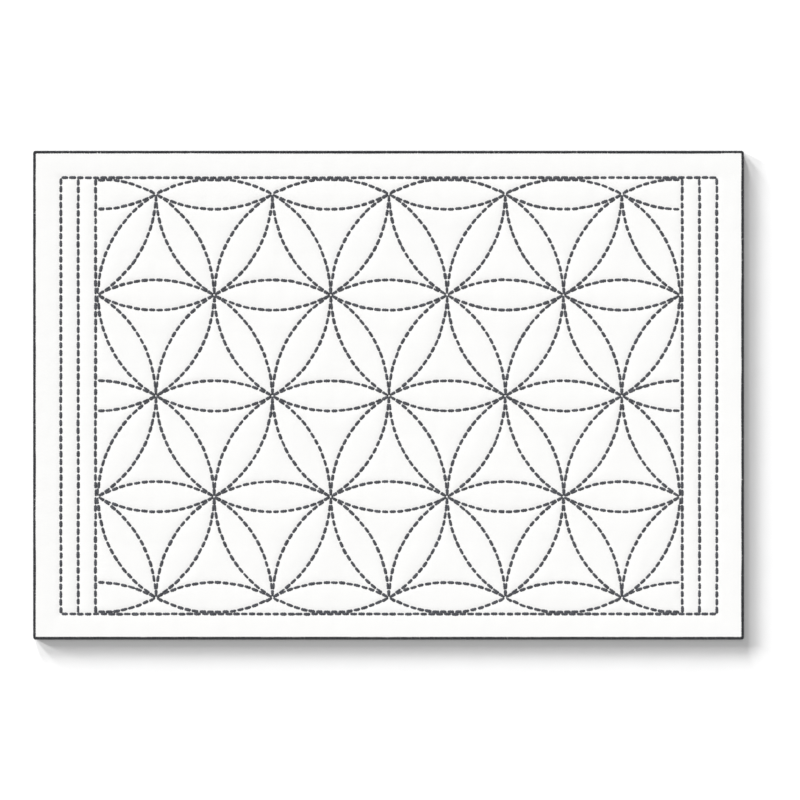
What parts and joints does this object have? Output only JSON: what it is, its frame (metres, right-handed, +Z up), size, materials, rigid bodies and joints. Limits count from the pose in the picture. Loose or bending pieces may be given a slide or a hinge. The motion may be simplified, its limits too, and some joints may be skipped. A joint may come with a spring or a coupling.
{
  "type": "sashiko embroidered cloth",
  "caption": "Flat oblong cotton place mat with a dark overcast edge and a running-stitch pattern of overlapping circles inside a stitched frame.",
  "frame": {"origin": "middle of the underside, on the surface that the cloth lies on", "axes": "+X along the cloth's length, +Y across it towards the back edge, +Z up out of the sewn face"},
  "size_m": [0.458, 0.315, 0.0022],
  "materials": {
    "white_cotton": "matt plain weave",
    "dark_thread": "matt twisted cotton thread"
  },
  "bodies": {
    "root": {"cloth": "white_cotton", "edging": "dark_thread", "sashiko_stitching": "dark_thread"}
  },
  "joints": []
}
